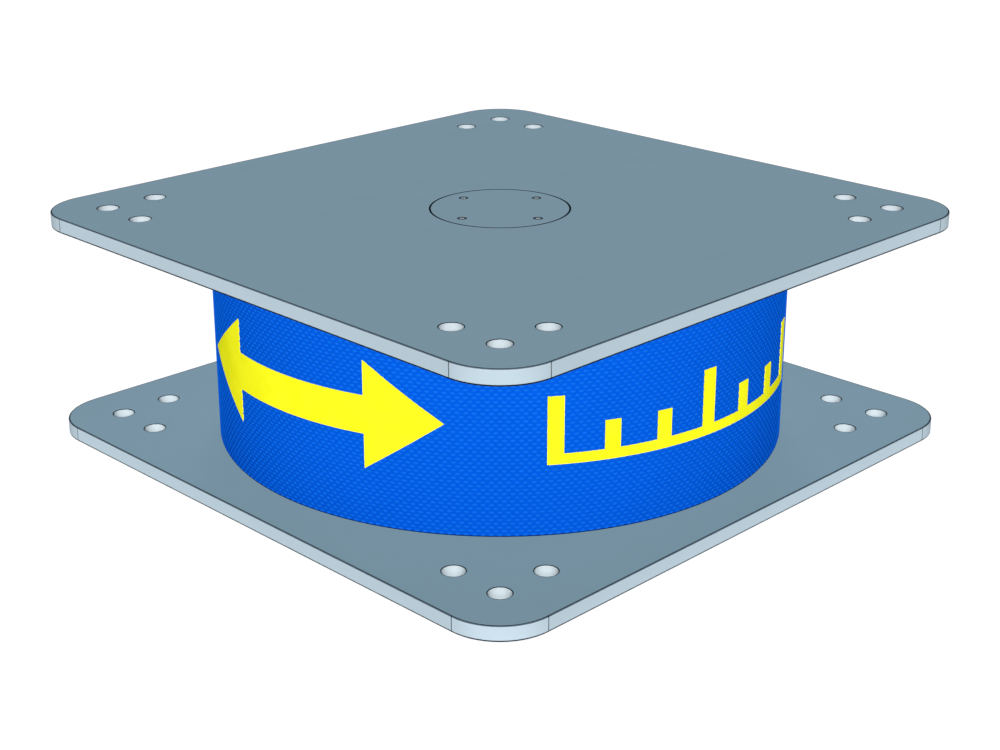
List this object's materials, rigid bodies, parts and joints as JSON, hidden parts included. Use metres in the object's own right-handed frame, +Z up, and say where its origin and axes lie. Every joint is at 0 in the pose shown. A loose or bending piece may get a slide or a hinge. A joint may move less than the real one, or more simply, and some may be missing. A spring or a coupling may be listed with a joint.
{
  "type": "lead rubber bearing",
  "caption": "Seismic isolation bearing: a round block of bonded rubber and steel with a lead core, between square flange plates with anchor bolt holes.",
  "frame": {"origin": "centre of the lower flange plate's underside", "axes": "+Z up along the bearing's axis; +X and +Y along the sides of the flange plates"},
  "size_m": [0.95, 0.95, 0.337],
  "materials": {
    "plate_paint": "satin grey-blue paint",
    "cover_rubber": "blue rubber with fine raised dots",
    "layer_rubber": "plain black natural rubber",
    "shim_steel": "blasted mild steel",
    "screw_steel": "zinc plated",
    "lead": "dull cast lead"
  },
  "bodies": {
    "root": {"lower_flange_plate": "plate_paint", "upper_flange_plate": "plate_paint", "cover_rubber": "cover_rubber", "lead_core": "lead", "lower_core_cap": "plate_paint", "upper_core_cap": "plate_paint", "lower_cap_screws": "screw_steel", "upper_cap_screws": "screw_steel", "rubber_layer_01": "layer_rubber", "rubber_layer_02": "layer_rubber", "rubber_layer_03": "layer_rubber", "rubber_layer_04": "layer_rubber", "rubber_layer_05": "layer_rubber", "rubber_layer_06": "layer_rubber", "rubber_layer_07": "layer_rubber", "rubber_layer_08": "layer_rubber", "rubber_layer_09": "layer_rubber", "rubber_layer_10": "layer_rubber", "rubber_layer_11": "layer_rubber", "rubber_layer_12": "layer_rubber", "rubber_layer_13": "layer_rubber", "rubber_layer_14": "layer_rubber", "rubber_layer_15": "layer_rubber", "rubber_layer_16": "layer_rubber", "rubber_layer_17": "layer_rubber", "rubber_layer_18": "layer_rubber", "rubber_layer_19": "layer_rubber", "rubber_layer_20": "layer_rubber", "rubber_layer_21": "layer_rubber", "rubber_layer_22": "layer_rubber", "rubber_layer_23": "layer_rubber", "rubber_layer_24": "layer_rubber", "rubber_layer_25": "layer_rubber", "steel_shim_01": "shim_steel", "steel_shim_02": "shim_steel", "steel_shim_03": "shim_steel", "steel_shim_04": "shim_steel", "steel_shim_05": "shim_steel", "steel_shim_06": "shim_steel", "steel_shim_07": "shim_steel", "steel_shim_08": "shim_steel", "steel_shim_09": "shim_steel", "steel_shim_10": "shim_steel", "steel_shim_11": "shim_steel", "steel_shim_12": "shim_steel", "steel_shim_13": "shim_steel", "steel_shim_14": "shim_steel", "steel_shim_15": "shim_steel", "steel_shim_16": "shim_steel", "steel_shim_17": "shim_steel", "steel_shim_18": "shim_steel", "steel_shim_19": "shim_steel", "steel_shim_20": "shim_steel", "steel_shim_21": "shim_steel", "steel_shim_22": "shim_steel", "steel_shim_23": "shim_steel", "steel_shim_24": "shim_steel"}
  },
  "joints": []
}
